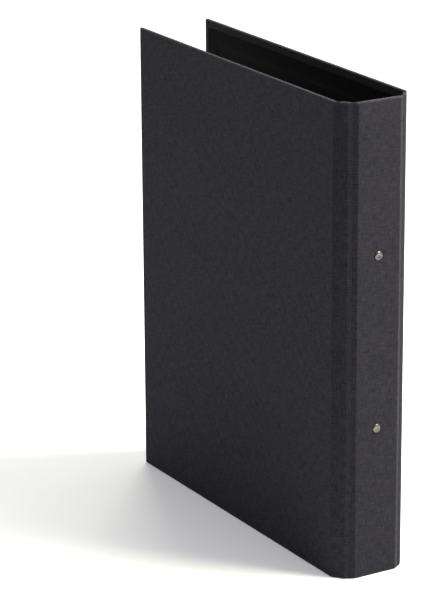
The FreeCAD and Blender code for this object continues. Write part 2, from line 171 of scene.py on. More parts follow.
world = bpy.data.worlds.new("room")
bpy.context.scene.world = world
world.use_nodes = True
tree = world.node_tree
tree.nodes.clear()
place = add_node(tree, "ShaderNodeTexCoord")
height = add_node(tree, "ShaderNodeSeparateXYZ", {0: place.outputs["Generated"]}).outputs["Z"]
glow = add_node(tree, "ShaderNodeMapRange",
                {"Value": height, "From Min": ROOM_FADE[0], "From Max": ROOM_FADE[1],
                 "To Min": ROOM_LOW, "To Max": ROOM_HIGH}).outputs[0]
seen = add_node(tree, "ShaderNodeLightPath").outputs["Is Camera Ray"]
room = add_node(tree, "ShaderNodeBackground", {"Strength": glow})
backdrop = add_node(tree, "ShaderNodeBackground", {"Strength": 1.0})
room.inputs["Color"].default_value = ROOM_COLOUR
backdrop.inputs["Color"].default_value = (1, 1, 1, 1)
mixed = add_node(tree, "ShaderNodeMixShader", {0: seen, 1: room.outputs[0], 2: backdrop.outputs[0]})
add_node(tree, "ShaderNodeOutputWorld", {"Surface": mixed.outputs[0]})

floor_paint = bpy.data.materials.new("white_sweep")
floor_paint.use_nodes = True
floor_shader = floor_paint.node_tree.nodes["Principled BSDF"]
floor_shader.inputs["Base Color"].default_value = FLOOR_COLOUR
floor_shader.inputs["Roughness"].default_value = 0.9
floor_shader.inputs["Specular IOR Level"].default_value = 0.1
floor_mesh.materials.append(floor_paint)
print("studio: floor", FLOOR_SIZE, "m wide")

# %% [markdown]
# ## The case seen from above
#
# A case is made of flat boards with gaps between them, glued to one sheet of cloth. This binder has
# five boards: two covers, the spine, and a narrow strip at each corner. Seen from above, the cloth
# runs flat along the cover, sinks into a shallow valley where there is no board, crosses the strip,
# sinks again and comes out on the spine. All of its corners come from the frame: the extreme points
# of the cloth blanks are where the boards begin and end.

# %% Read the corners of the case
SHEET = 0.3 * MM  # book cloth
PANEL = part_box("back_cloth")[1].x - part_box("back_cloth")[0].x  # board with cloth on both faces
HEIGHT = cad_box[1].z
TURN_IN = 15 * MM
FORE_EDGE = cad_box[1].y
SPINE_INSET = 0.1 * MM  # the cloth turns this far inside the blank's corner


def first_point(node, measure):
    """The plan position of the vertex of a CAD node for which a measure is least."""
    vertex = min(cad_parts[node].data.vertices, key=lambda v: measure(v.co))
    return np.array(vertex.co.xy)


spine_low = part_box("spine_cloth")[0]
spine_edge = np.array((spine_low.x + SPINE_INSET, spine_low.y))
strip_low = first_point("back_strip_cloth", lambda p: p.y)
strip_high = first_point("back_strip_cloth", lambda p: p.x)
cover_edge = np.array(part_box("back_cloth")[0].xy)
print("corner:", *(tuple(np.round(p / MM, 2)) for p in (cover_edge, strip_high, strip_low, spine_edge)))

# %% [markdown]
# A path through rounded corners is the base of every sheet. `rounded_path` takes corner points with
# radii, swaps each corner for an arc, and gives back evenly spaced points. `inwards` gives the
# direction at right angles to a line, which for a line drawn from the cover to the spine points to
# the inside of the binder.

# %% Helpers for paths
ARC_STEPS = 8


def unit(v):
    return v / np.linalg.norm(v)


def inwards(start, end):
    x, y = unit(end - start)
    return np.array((-y, x))


def even(points, count):
    """Evenly spaced points along a polyline, and how far along each one is."""
    points = np.array(points)
    lengths = np.linalg.norm(np.diff(points, axis=0), axis=1)
    along = np.concatenate(([0], np.cumsum(lengths)))
    wanted = np.linspace(0, along[-1], count)
    placed = np.stack([np.interp(wanted, along, points[:, i]) for i in (0, 1)], axis=1)
    return placed, wanted


def rounded_path(corners, count):
    """Even points along a polyline of (point, radius) with its corners rounded."""
    points = [corners[0][0]]
    for (before, _), (corner, radius), (after, _) in zip(corners, corners[1:], corners[2:]):
        back, on = unit(before - corner), unit(after - corner)
        turn = math.pi - math.acos(np.clip(back @ on, -1, 1))
        reach = radius * math.tan(turn / 2)
        centre = corner + unit(back + on) * radius / math.cos(turn / 2)
        start, end = corner + back * reach - centre, corner + on * reach - centre
        for share in np.linspace(0, 1, ARC_STEPS + 1):
            angle = share * turn
            arm = (math.sin(turn - angle) * start + math.sin(angle) * end) / math.sin(turn)
            points.append(centre + arm)
    points.append(corners[-1][0])
    return even(points, count)


# %% [markdown]
# ### The outer face of a corner
#
# Two valleys are pressed into the cloth with a bone folder. Neither is symmetrical: the cloth leaves
# the strip at a gentle slope, and meets the spine's board at a steeper one. The path is cut in two
# on the strip, where both halves lie flat, so that each half crosses one joint only.

# %% Draw the outer path
FLAT_RUN = 3.5 * MM  # flat cloth on the cover beyond the joint
SPINE_RUN = 2.2 * MM  # and on the spine
COVER_VALLEY = (0.59, 0.34 * MM)  # share of the way across the joint, and depth
SPINE_VALLEY = (0.44, 0.47 * MM)
COVER_RADII = (2.6 * MM, 1.6 * MM, 1.8 * MM)  # at the cover's edge, in the valley, at the strip
SPINE_RADII = (0.9 * MM, 1.3 * MM, 1.7 * MM)  # at the strip, in the valley, at the spine's edge


def valley(start, end, share, depth):
    """A point part of the way from start to end, sunk towards the inside."""
    return start + (end - start) * share + inwards(start, end) * depth


cover_valley = valley(cover_edge, strip_high, *COVER_VALLEY)
spine_valley = valley(strip_low, spine_edge, *SPINE_VALLEY)
strip_middle = (strip_low + strip_high) / 2
cover_start = cover_edge + np.array((0, FLAT_RUN))
spine_end = spine_edge + np.array((SPINE_RUN, 0))

COVER_COLUMNS = 46
SPINE_COLUMNS = 46
cover_corners = zip((cover_edge, cover_valley, strip_high), COVER_RADII)
outer_cover_path, cover_along = rounded_path(
    [(cover_start, 0), *cover_corners, (strip_middle, 0)], COVER_COLUMNS)
spine_corners = zip((strip_low, spine_valley, spine_edge), SPINE_RADII)
outer_spine_path, spine_along = rounded_path(
    [(strip_middle, 0), *spine_corners, (spine_end, 0)], SPINE_COLUMNS)
print("outer path:", round((cover_along[-1] + spine_along[-1]) / MM, 2), "mm of cloth at each corner")

# %% [markdown]
# ### The inner face of a corner
#
# At the head and the tail the cloth is turned over the boards onto the inside. There it lies on the
# boards, and dips into the gaps between them until it meets the back of the outer layer. The inner
# path follows the same boards from the other side: along each board, round its edge and down to
# the bottom of the gap.

# %% Draw the inner path
JOINT_LAYERS = 0.66 * MM  # two thicknesses of cloth pressed together
INNER_ROUND = 0.8 * MM
COVER_GAP_FLOOR = ((0.32, 0.2 * MM), (0.70, 0.3 * MM))  # share of the way across, and depth
SPINE_GAP_FLOOR = ((0.30, 0.3 * MM), (0.66, 0.3 * MM))


def lifted(point, direction, height=PANEL):
    return point + direction * height


def gap_floor(start, end, direction, spots):
    """The bottom of the gap between two boards, as rounded corners of the inner path."""
    return [(lifted(valley(start, end, *spot), direction, JOINT_LAYERS), INNER_ROUND)
            for spot in spots]


across_cover = np.array((1.0, 0.0))
across_strip = inwards(strip_high, strip_low)
across_spine = np.array((0.0, 1.0))
cover_gap = unit(across_cover + across_strip)
spine_gap = unit(across_strip + across_spine)

inner_cover_path, _ = rounded_path(
    [(lifted(cover_start, across_cover), 0),
     (lifted(cover_edge, across_cover), INNER_ROUND),
     *gap_floor(cover_edge, strip_high, cover_gap, COVER_GAP_FLOOR),
     (lifted(strip_high, across_strip), INNER_ROUND / 2),
     (lifted(strip_middle, across_strip), 0)], COVER_COLUMNS)
spine_board_edge = np.array((spine_low.x, spine_low.y))
inner_spine_path, _ = rounded_path(
    [(lifted(strip_middle, across_strip), 0),
     (lifted(strip_low, across_strip), INNER_ROUND / 2),
     *gap_floor(strip_low, spine_edge, spine_gap, SPINE_GAP_FLOOR),
     (lifted(spine_board_edge, across_spine), INNER_ROUND),
     (lifted(spine_end, across_spine), 0)], SPINE_COLUMNS)
print("inner path:", len(inner_cover_path) + len(inner_spine_path), "points")

# %% [markdown]
# ## Wrapping cloth over a board
#
# Every cloth piece is made the same way. At each column of its path the cloth goes once round the
# board: up the outer face, over the head in a small bend, down the inside for the width of the
# turn-in, and the same at the tail. `wrapped` places those points for all columns at once. A thin
# column, in a gap between boards, gets a tighter bend and sits a little lower, as real cloth does
# where nothing holds it up. The thread directions come along as a UV map in metres, measured on the
# flat sheet, so that the weave runs on from piece to piece.

# %% Helper: points of a wrapped sheet
BEND = 0.9 * MM  # outer radius of cloth over a board's edge
BEND_STEPS = 5
SINK = 0.05 * MM  # how far the cloth's edge sinks between two boards


def wrapped(outer, inner, along, levels, bends=None):
    """Points and thread coordinates, as arrays of (column, station, ...).

    bends gives each column's bend radius. Without it, columns thinner than a board get tighter
    bends and sink.
    """
    gap = np.linalg.norm(inner - outer, axis=1)
    across = (inner - outer) / np.maximum(gap, 1e-9)[:, None]
    if bends is None:
        bends = np.minimum(BEND, gap / 2)
        sink = SINK * np.clip((PANEL - gap) / (PANEL - JOINT_LAYERS), 0, 1)
        edge = bends + sink  # from the end of the case to the bend's centre
    else:
        edge = np.full(len(gap), BEND)
    share = (levels - BEND) / (HEIGHT - 2 * BEND)
    run = edge[:, None] + share * (HEIGHT - 2 * edge[:, None])
    turns = np.linspace(0, math.pi / 2, BEND_STEPS + 1)[1:]
    rise = np.sin(turns) * bends[:, None]
    reach = (1 - np.cos(turns)) * bends[:, None]
    arc = turns * bends[:, None]
    full, none = gap[:, None], np.zeros_like(rise)
    top = HEIGHT - edge[:, None]
    flat = (gap / 2 - bends)[:, None]
    head_z = np.hstack([top + rise, top + rise[:, -1:], (top + rise)[:, ::-1]])
    head_reach = np.hstack([reach, full / 2, (full - reach)[:, ::-1]])
    head_v = np.hstack([top + arc, top + arc[:, -1:] + flat, (top + arc)[:, ::-1]])
    z = np.hstack([run, head_z, run[:, ::-1], HEIGHT - head_z])
    reach_all = np.hstack([none[:, :1] + 0 * run, head_reach, full + 0 * run, full - head_reach])
    v = np.hstack([run, head_v, run[:, ::-1], HEIGHT - head_v])
    plan = outer[:, None, :] + across[:, None, :] * reach_all[:, :, None]
    points = np.concatenate([plan, z[:, :, None]], axis=2)
    threads = np.stack([np.broadcast_to(along[:, None], v.shape), v], axis=2)
    return points, threads


# %% [markdown]
# `sheet_object` turns such a grid into a mesh. Its faces join each station to the next, and a
# `keep` test leaves out the window inside the turn-ins, where the lining paper lies on bare board.
# A point attribute called `fold` is 1 where the cloth bends round an edge: the material uses it to
# lighten the colour there, partly for wear on the threads and partly as a painted highlight. The sheet
# gets its thickness last, on the inside of the surface.

# %% Helper: a cloth object from a grid of points
WELD = 1e-6  # points nearer than this become one
SHEET_SHARP = math.radians(50)  # a fold sharper than this stays a hard edge


def link(name, mesh):
    thing = bpy.data.objects.new(name, mesh)
    bpy.context.scene.collection.objects.link(thing)
    return thing


def settled(thing):
    """Swap an object's modifiers for the mesh that they make."""
    bpy.context.view_layer.update()
    evaluated = thing.evaluated_get(bpy.context.evaluated_depsgraph_get())
    mesh = bpy.data.meshes.new_from_object(evaluated)
    thing.modifiers.clear()
    old, thing.data = thing.data, mesh
    bpy.data.meshes.remove(old)
    mesh.name = thing.name
    return thing


def sheet_object(name, points, threads, keep, fold, thickness, loop=True):
    columns, stations = points.shape[:2]
    index = np.arange(columns * stations).reshape(columns, stations)
    faces = []
    for i in range(columns - 1):
        for j in range(stations if loop else stations - 1):
            k = (j + 1) % stations
            if keep(i, j, k):
                faces.append((index[i, j], index[i + 1, j], index[i + 1, k], index[i, k]))
    mesh = bpy.data.meshes.new(name)
    mesh.from_pydata(points.reshape(-1, 3).tolist(), [], [tuple(map(int, f)) for f in faces])
    uv = mesh.uv_layers.new(name="threads")
    corners = np.zeros(len(mesh.loops), np.int32)
    mesh.loops.foreach_get("vertex_index", corners)
    uv.data.foreach_set("uv", threads.reshape(-1, 2)[corners].astype(np.float32).ravel())
    attribute = mesh.attributes.new("fold", "FLOAT", "POINT")
    attribute.data.foreach_set("value", fold.astype(np.float32).ravel())
    loose = bmesh.new()
    loose.from_mesh(mesh)
    bmesh.ops.remove_doubles(loose, verts=loose.verts, dist=WELD)
    bmesh.ops.dissolve_degenerate(loose, edges=loose.edges, dist=WELD)
    bmesh.ops.delete(loose, geom=[v for v in loose.verts if not v.link_faces], context="VERTS")
    loose.to_mesh(mesh)
    loose.free()
    mesh.shade_smooth()
    thing = link(name, mesh)
    wall = thing.modifiers.new("wall", "SOLIDIFY")
    wall.thickness = thickness
    wall.offset = -1
    settled(thing)
    mesh = thing.data
    mesh.set_sharp_from_angle(angle=SHEET_SHARP)
    print(f"{name}: {len(mesh.polygons)} faces")
    return thing


# %% [markdown]
# ## Cloth on the covers
#
# On a cover the cloth also goes round the fore-edge. The columns follow it: their bends shrink to
# nothing as they turn the corner, which leaves the ball-shaped tip that a hammered cloth corner has.
# The last 15 mm of the inside are covered from head to tail, and each corner is mitred: the two
# turn-ins meet on a diagonal, where the surface is pressed in a little.

# %% Make the covers' cloth
CORNER_LINES = np.array([15, 12.5, 10, 8, 6.5, 5, 3.8, 2.8, 1.9, 1.3]) * MM  # from the board's edge
LEVEL_STEP = 12 * MM
MITRE = 0.14 * MM  # how far a mitre is pressed in
JOINT_COLUMN = 6 * MM  # from the joint to the cover's first column
EDGE_COLUMN = 14 * MM  # from the turn-in back to the last column before it
SLOPE = 0.6  # the fold attribute beside a bend


def levels_with(fine=()):
    """Heights of the stations: close together near the head and the tail."""
    ends = np.concatenate([[BEND], CORNER_LINES[::-1]])
    middle = np.arange(TURN_IN + LEVEL_STEP, HEIGHT - TURN_IN - LEVEL_STEP / 2, LEVEL_STEP)
    return np.unique(np.concatenate([ends, middle, np.array(fine), HEIGHT - ends]).round(7))


LEVELS = levels_with()
RUN = len(LEVELS)
WRAP = 2 * BEND_STEPS + 1
INSIDE = RUN + WRAP  # the first station on the inside


def in_window(j, k, levels=LEVELS):
    """Whether the strip between two stations lies inside the turn-ins."""
    run = len(levels)
    start = run + WRAP
    if not (start <= j < start + run and start <= k < start + run):
        return False
    heights = levels[::-1][[j - start, k - start]]
    return heights.min() >= TURN_IN - 1e-6 and heights.max() <= HEIGHT - TURN_IN + 1e-6


def fold_of(points, levels):
    """1 where the cloth bends over the head or the tail, and 0 on the flat."""
    fold = np.zeros(points.shape[:2])
    run = len(levels)
    fold[:, run:run + WRAP] = 1
    fold[:, 2 * run + WRAP:] = 1
    fold[:, [0, run - 1, run + WRAP, 2 * run + WRAP - 1]] = SLOPE
    return fold


def cover_cloth(name, side):
    """Cloth on one cover. side is 1 for the back cover and -1 for its mirror image."""
    start = cover_start[1]
    straight = [start, start + JOINT_COLUMN, (start + FORE_EDGE) / 2,
                FORE_EDGE - TURN_IN - EDGE_COLUMN]
    places = np.array(straight + list(FORE_EDGE - CORNER_LINES))
    turns = np.linspace(0, math.pi / 2, BEND_STEPS + 1)
    face = cover_edge[0]
    outer = [(face, y) for y in places]
    outer += [(face + BEND * (1 - math.cos(a)), FORE_EDGE - BEND * (1 - math.sin(a))) for a in turns]
    inner = [(2 * face + PANEL - x, y) for x, y in outer]
    bends = [BEND] * len(places) + [BEND * math.cos(a) for a in turns]
    middle_line = (face + PANEL / 2, FORE_EDGE)
    outer, inner = np.array(outer + [middle_line]), np.array(inner + [middle_line])
    steps = np.linalg.norm(np.diff(outer, axis=0), axis=1)
    along = COVER_ALONG + np.concatenate(([0], np.cumsum(steps)))
    points, threads = wrapped(outer, inner, -side * along, LEVELS, np.array(bends + [0]))
    band = len(straight)
    for i, line in enumerate(CORNER_LINES):
        for level in (line, HEIGHT - line):
            j = INSIDE + RUN - 1 - int(np.argmin(abs(LEVELS - level)))
            points[band + i, j, 0] -= MITRE
    fold = fold_of(points, LEVELS)
    fold[band + len(CORNER_LINES):] = 1
    points[:, :, 0] *= side
    columns = slice(None, None, -side)
    size = len(points)

    def keep(i, j, k):
        first = i if side < 0 else size - 2 - i
        return first >= band or not in_window(j, k)

    return sheet_object(name, points[columns], threads[columns], keep, fold[columns], SHEET)


# The thread coordinate along the sheet is measured from the middle of the spine.
SPINE_ALONG = abs(spine_end[0])
JOINT_ALONG = SPINE_ALONG + spine_along[-1]
COVER_ALONG = JOINT_ALONG + cover_along[-1]
back_cloth = cover_cloth("back_cover_cloth", 1)
front_cloth = cover_cloth("front_cover_cloth", -1)

# %% [markdown]
# ## Cloth over the joints
#
# The two halves of each corner follow the inner and outer paths drawn above. The path runs from the
# cover to the spine, so the thread coordinate falls as the columns go on.

# %% Make the joint cloths
def joint_cloth(name, outer, inner, along, side):
    points, threads = wrapped(outer, inner, -side * along, LEVELS)
    points[:, :, 0] *= side
    columns = slice(None, None, side)
    fold = fold_of(points, LEVELS)
    return sheet_object(name, points[columns], threads[columns],
                        lambda i, j, k: not in_window(j, k), fold[columns], 0.9 * SHEET)


joints = {}
for place, side in (("back", 1), ("front", -1)):
    joints[f"{place}_cover_joint"] = joint_cloth(
        f"{place}_cover_joint_cloth", outer_cover_path, inner_cover_path,
        COVER_ALONG - cover_along, side)
    joints[f"{place}_spine_joint"] = joint_cloth(
        f"{place}_spine_joint_cloth", outer_spine_path, inner_spine_path,
        JOINT_ALONG - spine_along, side)

# %% [markdown]
# ## Cloth on the spine
#
# The spine's cloth is flat but for two dimples: a riveting press squeezes cloth and board under
# each head. The grid is finer near the rivets, so that the dimples are real shape.

# %% Make the spine's cloth
RIVETS = [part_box(f"{place}_rivet") for place in ("upper", "lower")]
RIVET_HEIGHTS = [(low.z + high.z) / 2 for low, high in RIVETS]
HEAD_RADIUS = (RIVETS[0][1].z - RIVETS[0][0].z) / 2
DIMPLE = 0.16 * MM
DIMPLE_REACH = 2.6 * MM
FINE_STEP = 0.5 * MM
FINE_REACH = 7 * MM
SPINE_COLUMN_COUNT = 9


def smooth_step(x):
    """0 below 0, 1 above 1, and a smooth rise between them."""
    x = np.clip(x, 0, 1)
    return x * x * (3 - 2 * x)


fine = np.arange(-FINE_REACH, FINE_REACH + FINE_STEP / 2, FINE_STEP)
spine_levels = levels_with([z + f for z in RIVET_HEIGHTS for f in fine])
spine_columns = np.linspace(-SPINE_ALONG, SPINE_ALONG, SPINE_COLUMN_COUNT)
spine_run = np.unique(np.concatenate([spine_columns, fine]).round(7))
spine_outer = np.stack([spine_run, 0 * spine_run + spine_low.y], axis=1)
spine_inner = spine_outer + np.array((0, PANEL))
points, threads = wrapped(spine_outer, spine_inner, spine_run, spine_levels)
face = points[:, :len(spine_levels)]
for height in RIVET_HEIGHTS:
    away = np.hypot(face[:, :, 0], face[:, :, 2] - height)
    face[:, :, 1] += DIMPLE * smooth_step((HEAD_RADIUS + DIMPLE_REACH - away) / DIMPLE_REACH)
spine_cloth = sheet_object("spine_cloth_cover", points, threads,
                           lambda i, j, k: not in_window(j, k, spine_levels),
                           fold_of(points, spine_levels), SHEET)

# %% [markdown]
# ## Lining paper
#
# A sheet of near-black paper covers the bare board inside, and laps over the turn-ins. Where a
# turn-in ends below it, the paper slopes down by the cloth's thickness, and that slope shows as a
# faint frame. Each lining follows the inner path of its part of the case, and at the joints it goes
# down into the gap with the cloth.

# %% Helper: a sheet of lining
PAPER = 0.18 * MM
HEAD_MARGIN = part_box("back_lining")[0].z
EDGE_MARGIN = FORE_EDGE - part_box("back_lining")[1].y
STEP_RUN = 3.0 * MM  # how wide the slope is
STEP_SHARES = np.array([-1, 0, 0.25, 0.5, 0.75, 1, 2])  # lines across it, from the edge inwards
LINING_COLUMNS = 12
LINING_GAP = 8 * MM  # from the even columns to the slope's own
LINING_EDGE = 6 * MM  # from the paper's fore-edge to its next column
LINING_HEAD = 2 * MM  # and from its head or tail to the next row


def lining_object(name, path, along, side, edge_distance=None):
    """Paper on the inside. edge_distance is each column's distance from the board's free edge."""
    step_lines = TURN_IN + STEP_SHARES * STEP_RUN
    ends = np.concatenate([[HEAD_MARGIN, HEAD_MARGIN + LINING_HEAD], step_lines])
    middle = np.arange(TURN_IN + LEVEL_STEP, HEIGHT - TURN_IN - LEVEL_STEP / 2, LEVEL_STEP)
    rows = np.unique(np.concatenate([ends, middle, HEIGHT - ends]))
    from_end = np.minimum(rows, HEIGHT - rows)
    if edge_distance is None:
        edge_distance = np.full(len(path), np.inf)
    low = smooth_step((edge_distance - TURN_IN) / STEP_RUN)[:, None]
    low = low * smooth_step((from_end - TURN_IN) / STEP_RUN)[None, :]
    tangent = np.gradient(path, axis=0)
    normal = np.stack([-tangent[:, 1], tangent[:, 0]], axis=1)
    normal /= np.linalg.norm(normal, axis=1)[:, None]
    lift = PAPER * (1 - low) - (SHEET - PAPER) * low
    plan = path[:, None, :] + normal[:, None, :] * lift[:, :, None]
    z = np.broadcast_to(rows[None, :, None], lift.shape + (1,))
    points = np.concatenate([plan, z], axis=2)
    threads = np.stack(np.broadcast_arrays(side * along[:, None], rows[None, :]), axis=2)
    points[:, :, 0] *= side
    columns = slice(None, None, -side)
    return sheet_object(name, points[columns], threads[columns], lambda i, j, k: True,
                        np.zeros(lift.shape), PAPER, loop=False)


# %% Make the linings
def cover_lining(name, side):
    start, end = cover_start[1], FORE_EDGE - EDGE_MARGIN
    step_lines = FORE_EDGE - TURN_IN - STEP_SHARES[::-1] * STEP_RUN
    even_columns = np.linspace(start, step_lines[0] - LINING_GAP, LINING_COLUMNS)
    ys = np.concatenate([even_columns, step_lines, [end - LINING_EDGE, end]])
    path = np.stack([0 * ys + cover_edge[0] + PANEL, ys], axis=1)[::-1]
    along = (start - ys[::-1]) - COVER_ALONG
    return lining_object(name, path, along, side, (FORE_EDGE - ys)[::-1])


linings = {}
for place, side in (("back", 1), ("front", -1)):
    linings[f"{place}_cover"] = cover_lining(f"{place}_cover_lining", side)
    linings[f"{place}_cover_joint"] = lining_object(
        f"{place}_cover_joint_lining", inner_cover_path, cover_along - COVER_ALONG, side)
    linings[f"{place}_spine_joint"] = lining_object(
        f"{place}_spine_joint_lining", inner_spine_path, spine_along - JOINT_ALONG, side)
SPINE_LINING_COLUMNS = 15
spine_line = np.linspace(spine_end[0], -spine_end[0], SPINE_LINING_COLUMNS)
spine_path = np.stack([spine_line, 0 * spine_line + spine_low.y + PANEL], axis=1)
linings["spine"] = lining_object("spine_lining_paper", spine_path, spine_line, 1)

# %% [markdown]
# ## Rivets
#
# Two tubular rivets hold the ring mechanism. Their nickel heads are pressed with a shallow dish
# inside a rounded rim. A lathe would do, but both heads follow one rule, so Geometry Nodes make
# them: a cylinder whose top is lifted by a curve of the distance from the axis, with a shank and a
# clenched end behind it, set at two points up the spine.

# %% Helper: run a Geometry Nodes tree
METAL_SHARP = math.radians(40)


def number_inputs(tree, values):
    """Named number inputs on a tree, and the node that gives their outputs."""
    tree.interface.new_socket("Geometry", in_out="OUTPUT", socket_type="NodeSocketGeometry")
    sockets = {}
    for name, value in values.items():
        socket = tree.interface.new_socket(name, in_out="INPUT", socket_type="NodeSocketFloat")
        sockets[socket.identifier] = value
    return sockets, tree.nodes.new("NodeGroupInput").outputs


def grown(name, tree, sockets):
    """The plain mesh that a tree makes with these input values."""
    thing = link(name, bpy.data.meshes.new(name))
    modifier = thing.modifiers.new("grow", "NODES")
    modifier.node_group = tree
    for identifier, value in sockets.items():
        modifier[identifier] = value
    settled(thing)
    thing.data.shade_smooth()
    thing.data.set_sharp_from_angle(angle=METAL_SHARP)
    print(f"{name}: {len(thing.data.polygons)} faces")
    return thing


def material(name):
    """A new material with its tree, its Principled BSDF and no other shader."""
    made = bpy.data.materials.new(name)
    made.use_nodes = True
    return made, made.node_tree, made.node_tree.nodes["Principled BSDF"]


# %% Make a blank rivet
ROUND_SIDES = 56
HEAD_RINGS = 14
rivet_low, rivet_high = RIVETS[0]
RIVET_SIZES = {
    "Head Radius": HEAD_RADIUS,
    "Head Height": spine_low.y - rivet_low.y,
    "Rim Height": 0.3 * MM,
    "Shank Radius": 1.9 * MM,
    "Clench Radius": 2.7 * MM,
    "Clench Height": 0.7 * MM,
    "Depth": rivet_high.y - spine_low.y,
    "Pitch": abs(RIVET_HEIGHTS[1] - RIVET_HEIGHTS[0]),
    "Lowest": min(RIVET_HEIGHTS),
    "Spine Face": spine_low.y,
}
nickel, nickel_tree, nickel_shader = material("nickel")
rivet_tree = bpy.data.node_groups.new("rivet", "GeometryNodeTree")
rivet_sockets, given = number_inputs(rivet_tree, RIVET_SIZES)


def cylinder(tree, radius, low, high, rings=1):
    """A cylinder on the Z axis between two heights."""
    depth = math_node(tree, "SUBTRACT", high, low)
    centre = math_node(tree, "MULTIPLY", math_node(tree, "ADD", high, low), 0.5)
    body = add_node(tree, "GeometryNodeMeshCylinder",
                    {"Vertices": ROUND_SIDES, "Fill Segments": rings, "Radius": radius, "Depth": depth},
                    fill_type="TRIANGLE_FAN")
    offset = add_node(tree, "ShaderNodeCombineXYZ", {"Z": centre})
    return add_node(tree, "GeometryNodeTransform",
                    {"Geometry": body.outputs["Mesh"], "Translation": offset.outputs[0]}).outputs[0]


inner_end = math_node(rivet_tree, "MULTIPLY", given["Depth"], -1.0)
clench_start = math_node(rivet_tree, "ADD", inner_end, given["Clench Height"])
blank = cylinder(rivet_tree, given["Head Radius"], 0.0, given["Rim Height"], rings=HEAD_RINGS)
shank = cylinder(rivet_tree, given["Shank Radius"], clench_start, 0.0)
clench = cylinder(rivet_tree, given["Clench Radius"], inner_end, clench_start)
print("rivet blank:", len(rivet_tree.nodes), "nodes")

# %% [markdown]
# The top of the blank head rises by a share of its height that depends on how far a point is from
# the axis: low in the middle for the dish, full at the rim's crown, and nothing at the edge.

# %% Dish the head
# Each pair: distance from the axis as a share of the radius, and height as a share of the crown
HEAD_PROFILE = [(0, 0.46), (0.35, 0.52), (0.58, 0.92), (0.70, 1.0), (0.84, 0.78), (0.95, 0.34), (1, 0)]
position = add_node(rivet_tree, "GeometryNodeInputPosition").outputs[0]
split = add_node(rivet_tree, "ShaderNodeSeparateXYZ", {0: position}).outputs
level = add_node(rivet_tree, "ShaderNodeCombineXYZ", {"X": split["X"], "Y": split["Y"]})
distance = add_node(rivet_tree, "ShaderNodeVectorMath", {0: level.outputs[0]}, operation="LENGTH")
share = math_node(rivet_tree, "DIVIDE", distance.outputs["Value"], given["Head Radius"])
profile = add_node(rivet_tree, "ShaderNodeFloatCurve", {"Value": share})
curve = profile.mapping.curves[0]
curve.points[0].location, curve.points[1].location = HEAD_PROFILE[0], HEAD_PROFILE[-1]
for spot in HEAD_PROFILE[1:-1]:
    curve.points.new(*spot)
profile.mapping.update()
crown = math_node(rivet_tree, "SUBTRACT", given["Head Height"], given["Rim Height"])
lift = math_node(rivet_tree, "MULTIPLY", profile.outputs[0], crown)
on_top = math_node(rivet_tree, "GREATER_THAN", split["Z"],
                   math_node(rivet_tree, "MULTIPLY", given["Rim Height"], 0.5))
offset = add_node(rivet_tree, "ShaderNodeCombineXYZ", {"Z": lift})
head = add_node(rivet_tree, "GeometryNodeSetPosition",
                {"Geometry": blank, "Selection": on_top, "Offset": offset.outputs[0]})
print("profile:", len(curve.points), "points")

# %% Set both rivets on the spine
one_rivet = add_node(rivet_tree, "GeometryNodeJoinGeometry")
for part in (head.outputs[0], shank, clench):
    rivet_tree.links.new(part, one_rivet.inputs[0])
first = add_node(rivet_tree, "ShaderNodeCombineXYZ", {"Y": given["Spine Face"], "Z": given["Lowest"]})
step = add_node(rivet_tree, "ShaderNodeCombineXYZ", {"Z": given["Pitch"]})
spots = add_node(rivet_tree, "GeometryNodeMeshLine",
                 {"Count": 2, "Start Location": first.outputs[0], "Offset": step.outputs[0]})
placed = add_node(rivet_tree, "GeometryNodeInstanceOnPoints",
                  {"Points": spots.outputs[0], "Instance": one_rivet.outputs[0],
                   "Rotation": (math.pi / 2, 0, 0)})
real = add_node(rivet_tree, "GeometryNodeRealizeInstances", {0: placed.outputs[0]})
dressed = add_node(rivet_tree, "GeometryNodeSetMaterial", {"Geometry": real.outputs[0],
                                                          "Material": nickel})
add_node(rivet_tree, "NodeGroupOutput", {0: dressed.outputs[0]})
rivets = grown("spine_rivets", rivet_tree, rivet_sockets)

# %% [markdown]
# ## Linen book cloth
#
# The cloth is a plain weave of charcoal threads, about 18 to the centimetre. From arm's length the
# single threads merge, and what shows is their unevenness: thicker and thinner places, called
# slubs, that run along the threads both ways. The weave is a node group, so that its height and the
# painted shade between its threads come from the same threads. It reads the flat sheet's
# coordinates in metres.

# %% Helpers for noise and shader groups
def noise(tree, vector, scale, detail=2.0, rough=0.5):
    made = add_node(tree, "ShaderNodeTexNoise", {"Vector": vector, "Scale": scale, "Detail": detail,
                                                 "Roughness": rough}, noise_dimensions="3D")
    return made.outputs["Fac"]


def stretched(tree, vector, x, y, z=1.0):
    made = add_node(tree, "ShaderNodeVectorMath", {0: vector, 1: (x, y, z)}, operation="MULTIPLY")
    return made.outputs[0]


def shader_group(name, inputs, outputs):
    """An empty shader group with (kind, default) inputs and named outputs."""
    tree = bpy.data.node_groups.new(name, "ShaderNodeTree")
    for label, (kind, default) in inputs.items():
        socket = tree.interface.new_socket(label, in_out="INPUT", socket_type=f"NodeSocket{kind}")
        if default is not None:
            socket.default_value = default
    for label in outputs:
        tree.interface.new_socket(label, in_out="OUTPUT", socket_type="NodeSocketFloat")
    return tree, tree.nodes.new("NodeGroupInput").outputs, tree.nodes.new("NodeGroupOutput")


# %% The weave group: its threads
THREADS = 1800.0  # to the metre
SLUB = 0.5  # how much a slub adds to the height
WANDER_SCALE = 90.0
WANDER = 0.55 * MM  # how far a thread strays to either side
OVER = 0.35  # share of a thread's height that comes from passing over the other set

